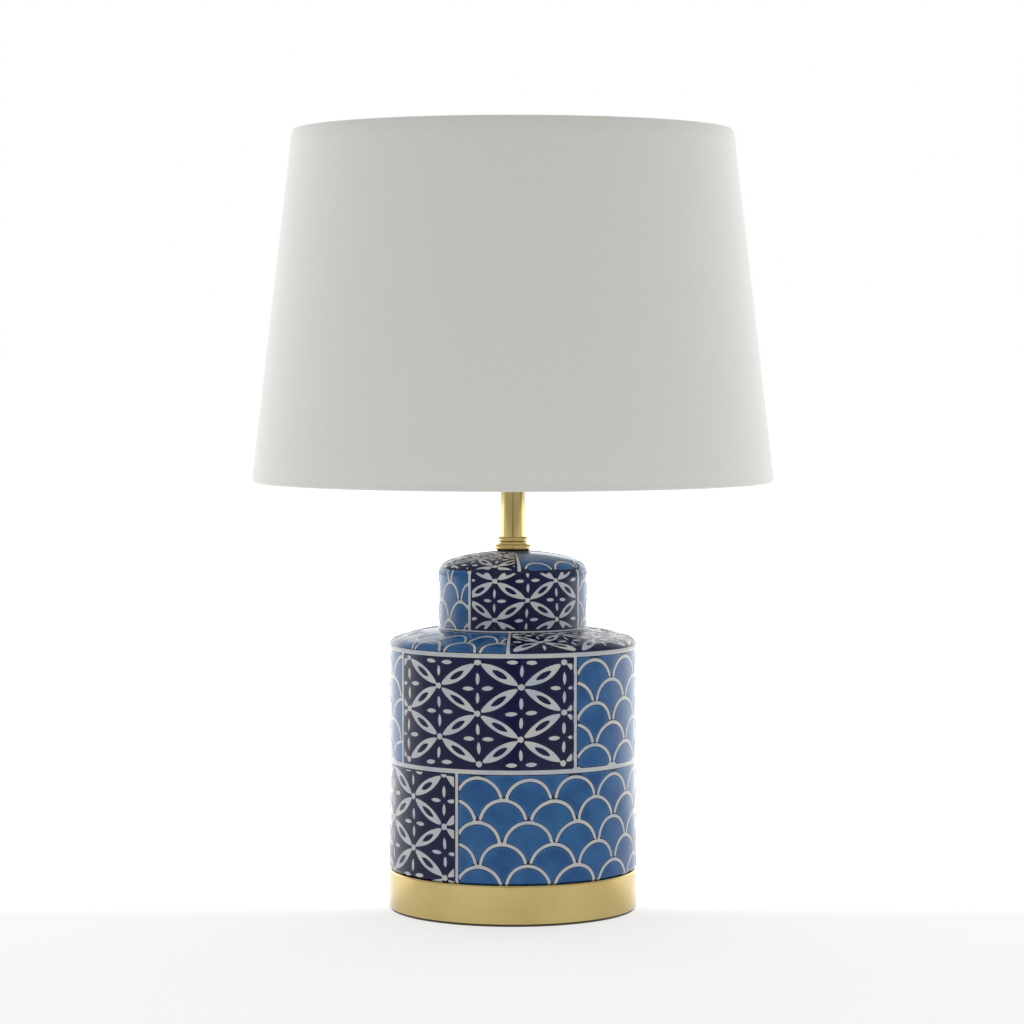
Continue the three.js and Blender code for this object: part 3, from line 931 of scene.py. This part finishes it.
def build_rod():
    radius, low, high = span("threaded_rod")
    bore, pitch, lower_end, upper_start = 3.6, 1.0, 24.0, 279.0
    rod = [
        (bore, low), (radius - 0.4, low), *wall(radius, low + 0.4, lower_end, pitch),
        *wall(radius, upper_start, high - 0.4, pitch), (radius - 0.4, high), (bore, high),
    ]
    below = thread([radius], low, lower_end, pitch, 0.5)
    above = thread([radius], upper_start, high, pitch, 0.5)

    def both(r, height, angle):
        return above(below(r, height, angle), height, angle)

    finish(turned("stem_rod", rod, 48, both), "stand", "steel", "threaded_rod")
    for name, node, across in (("clamp_nut", "bottom_nut", 14), ("holder_nut", "top_nut", 15)):
        _, low, high = span(node)
        finish(hex_nut(name, across, low, high), "stand", "steel", node)


def build_holder():
    radius, boss, rim = span("holder_cap")
    inside = 299.2
    shell = rounded([
        (ROD_HOLE, boss), (8.4, boss, 0.5), (8.4, boss + 6.1, 0.9), (17.5, boss + 9.6, 2.2),
        (radius, boss + 13.1, 2.2), (radius, rim, 0.4), (radius - 1.4, rim), (radius - 1.4, boss + 13.9),
        (16.9, boss + 11.3), (7.6, inside), (ROD_HOLE, inside),
    ])
    knob_low, knob_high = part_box("switch_knob")
    axis = (knob_low.z + knob_high.z) / 2 / MM
    shaft_hole = lay(drill(2, 12, 48), "X", 14, 0, axis)
    screw_hole = lay(drill(1.9, 8, 48), "X", -11, 0, boss + 3.1)
    finish(cut(turned("holder_shell", shell), shaft_hole, screw_hole), "stand", "black_resin", "holder_cap")

    flange, low, high = span("holder_sleeve")
    outer, shoulder, pitch = 19.9, low + 3, 2.5
    sleeve = [
        (18, low), *rounded([(flange, low, 0.5), (flange, shoulder, 0.4)]), (outer, shoulder),
        *wall(outer, shoulder + 0.2, high - 0.8, pitch), (outer - 0.6, high), (18.4, high), (18, high - 0.4),
    ]
    collar = thread([outer], shoulder, high - 0.5, pitch, 0.7)
    finish(turned("threaded_collar", sleeve, MEDIUM, collar), "stand", "black_resin", "holder_sleeve")

    radius, low, high = span("holder_core")
    core = rounded([
        (2, low), (radius, low, 0.5), (radius, high, 0.5), (14.9, high, 0.3), (14.9, low + 7.5, 0.8),
        (2, low + 7.5, 0.3),
    ])
    finish(turned("porcelain_cup", core), "stand", "porcelain", "holder_core")

    radius, low, high = span("screw_shell")
    inner, pitch = 13.6, 3.62
    sheet = [*wall(radius, low, high, pitch), *reversed(wall(inner + 0.45, low, high, pitch))]
    formed = thread([radius, inner + 0.45], low - 1, high + 1, pitch, 0.42)
    finish(turned("lamp_thread", sheet, MEDIUM, formed), "stand", "contact_brass", "screw_shell")


def build_knob():
    knob_low, knob_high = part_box("switch_knob")
    axis = (knob_low.z + knob_high.z) / 2 / MM
    start, length = knob_low.x / MM, (knob_high.x - knob_low.x) / MM
    outline = rounded([(2, 0), (5.4, 0, 0.5), (5.4, length, 1.3), (0, length), (0, 4.3), (2, 4.3)])

    def fluted(radius, _, angle):
        return radius - 0.5 * max(0, cos(12 * angle)) ** 3 if radius > 4.6 else radius

    knob = lay(turned("fluted_knob", outline, 144, fluted), "X", start, 0, axis)
    finish(knob, "switch", "black_resin", "switch_knob")


def build_bulb():
    _, tip, _ = span("bulb_contact")
    contact = [
        (0, tip), (2, tip + 0.08), (3.4, tip + 0.35), (4.2, tip + 0.8), (4.5, tip + 1.3), (4.5, tip + 1.9),
        (0, tip + 1.9),
    ]
    finish(turned("bulb_tip", contact, 64), "bulb", "cap_metal", "bulb_contact")
    insulator = rounded([
        (0, tip + 2.2), (5.2, tip + 2.2, 0.5), (11.6, tip + 5.9, 1), (11.6, tip + 6.9, 0.3), (0, tip + 6.9),
    ])
    finish(turned("bulb_glass_bead", insulator), "bulb", "black_resin", "bulb_insulator")

    radius, low, high = span("bulb_cap")
    inner, outer, pitch = 12.4, 13.0, 3.62
    cap = [(inner, low), (12.7, low + 0.1), *wall(outer, low + 0.8, high - 1, pitch), (radius, high - 0.2),
           (radius - 0.2, high), (inner, high)]
    finish(turned("bulb_thread", cap, MEDIUM, thread([outer], low + 0.8, high - 1, pitch, 0.4)), "bulb",
           "cap_metal", "bulb_cap")

    radius, low, high = span("bulb_glass")
    centre = high - radius

    def envelope(inset):
        neck, ball = 12 - inset, radius - inset
        turn = radians(-34)
        meet = (ball * cos(turn), centre + ball * sin(turn))
        handle = (meet[0] + 18 * sin(turn), meet[1] - 18 * cos(turn))
        flare = bezier((neck, low + 11.2), (neck, low + 18), handle, meet, 14)
        return [(neck, low), *flare, *arc((0, centre), (ball, ball), -32, 90, 30)]

    outline = without_repeats([*envelope(0), *reversed(envelope(0.9))])
    finish(turned("bulb_envelope", outline), "bulb", "opal_glass", "bulb_glass")


build_base()
build_rod()
build_stem()
build_holder()
build_knob()
build_bulb()


# Shade

WIRE = 1.5  # radius of a hoop's wire
REACH = 2.5  # from the middle of that wire to the outside of the cloth rolled round it
CLOTH = 0.7  # thickness of the cloth


def hoops():
    """Centres of the lower and upper hoops' wires."""
    lower, bottom, _ = span("bottom_hoop")
    upper, _, top = span("top_hoop")
    return (lower - WIRE, bottom + WIRE), (upper - WIRE, top - WIRE)


def build_cloth():
    (low_r, low_z), (high_r, high_z) = hoops()
    tilt = atan2(low_r - high_r, high_z - low_z) * 180 / pi

    def rolled(reach):
        """The cloth's path at this distance from the wires: round the lower hoop, up and round the upper."""
        out, up = reach * cos(radians(tilt)), reach * sin(radians(tilt))
        side = np.linspace((low_r + out, low_z + up), (high_r + out, high_z + up), 12)
        return [*arc((low_r, low_z), (reach, reach), 155, 360 + tilt, 16), *[tuple(p) for p in side[1:-1]],
                *arc((high_r, high_z), (reach, reach), tilt, 200, 16)]

    def lapped(radius, _, angle):
        """The cloth is fuller where its two ends lap at the back."""
        fuller, half_lap, fade = 0.35, 2.6, 0.6
        return radius + fuller * min(1, max(0, (half_lap - abs(angle * 180 / pi - 180)) / fade))

    outline = [*rolled(REACH), *reversed(rolled(REACH - CLOTH))]
    piece = turned("shade_cover", outline, 540, lapped)
    lay_cloth_uv(piece)

    finish(piece, "shade", "shade_cloth", "shade_fabric")


def lay_cloth_uv(piece):
    """Lays the weave over the cloth in metres: across is the distance round, up is the height."""
    mean_radius = 0.152
    uv = piece.data.uv_layers.new(name="cloth")
    places = piece.data.vertices
    for face in piece.data.polygons:
        middle = atan2(face.center.x, -face.center.y)
        for corner in face.loop_indices:
            x, y, z = places[piece.data.loops[corner].vertex_index].co
            turn = middle + (atan2(x, -y) - middle + pi) % tau - pi
            uv.data[corner].uv = (turn * mean_radius, z)


def build_frame():
    (low_r, low_z), (high_r, high_z) = hoops()
    for name, node, radius, height in (
            ("hoop_low", "bottom_hoop", low_r, low_z), ("hoop_high", "top_hoop", high_r, high_z)):
        ring = arc((radius, height), (WIRE, WIRE), 0, 337.5, 15)
        finish(turned(name, ring, FINE), "shade", "white_wire", node)

    radius, low, high = span("fitter_ring")
    washer = rounded([(20.4, low, 0.2), (radius, low, 0.3), (radius, high, 0.3), (20.4, high, 0.2)])
    finish(turned("fitter_washer", washer), "shade", "white_wire", "fitter_ring")

    arm = 1.25
    level, landing = (low + high) / 2, low_z + WIRE + arm + 0.3
    knots = [(24.2, level), (34, level), (42, level - 1.5), (96, (level + landing) / 2 + 1),
             (146, landing + 2.4), (154, landing + 0.4), (161.5, landing)]
    path = smooth_path(knots, 6)
    for i, turn in enumerate((90, 210, 330)):
        x, y = cos(radians(turn)), sin(radians(turn))
        spoke = bar(f"spoke_{i + 1}", [(r * x, r * y, z) for r, z in path], arm)
        finish(spoke, "shade", "white_wire", f"fitter_arm_{i + 1}")


def smooth_path(knots, steps):
    """Points on a smooth curve through every knot."""
    points = [np.array(k) for k in (knots[0], *knots, knots[-1])]
    path = []
    for before, start, stop, after in zip(points, points[1:], points[2:], points[3:]):
        run = np.linalg.norm(stop - start)
        leave = (stop - before) / max(np.linalg.norm(stop - before), 1e-9) * run / 3
        arrive = (after - start) / max(np.linalg.norm(after - start), 1e-9) * run / 3
        path += bezier(start, start + leave, stop - arrive, stop, steps)[:-1]
    return [*path, tuple(knots[-1])]


def build_lining():
    (low_r, low_z), (high_r, high_z) = hoops()
    low, high = np.array((low_r, low_z)), np.array((high_r, high_z))
    along = (high - low) / np.linalg.norm(high - low)
    outward = np.array((along[1], -along[0]))
    inset, thick = WIRE + 0.8, 0.5
    faces = (outward * WIRE, outward * (WIRE - thick))
    outline = [low + along * inset + faces[0], high - along * inset + faces[0],
               high - along * inset + faces[1], low + along * inset + faces[1]]
    finish(turned("shade_lining", outline, FINE), "shade", "liner_sheet", "shade_liner")


def build_clamp_ring():
    radius, low, high = span("shade_ring")
    outline = rounded([(20.2, low, 0.3), (radius, low, 0.4), (radius, high, 0.8), (20.2, high, 0.5)])

    def ribbed(r, _, angle):
        return r - 0.55 * (1 - abs(sin(20 * angle))) ** 2 if r > 23 else r

    finish(turned("knurled_ring", outline, 320, ribbed), "clamp_ring", "black_resin", "shade_ring")


build_frame()
build_lining()
build_clamp_ring()
build_cloth()


def assign_cad_materials():
    """Nodes that keep their CAD shape take the finish of their slot."""
    slots = {part["node"]: part["material_slot"] for part in frame["record"]["subparts"]}
    for name, node in frame["nodes"].items():
        node.data.materials.clear()
        node.data.materials.append(material_of.get(slots[name], material_of["biscuit"]))


assign_cad_materials()
bpy.context.scene.view_settings.view_transform = "Standard"
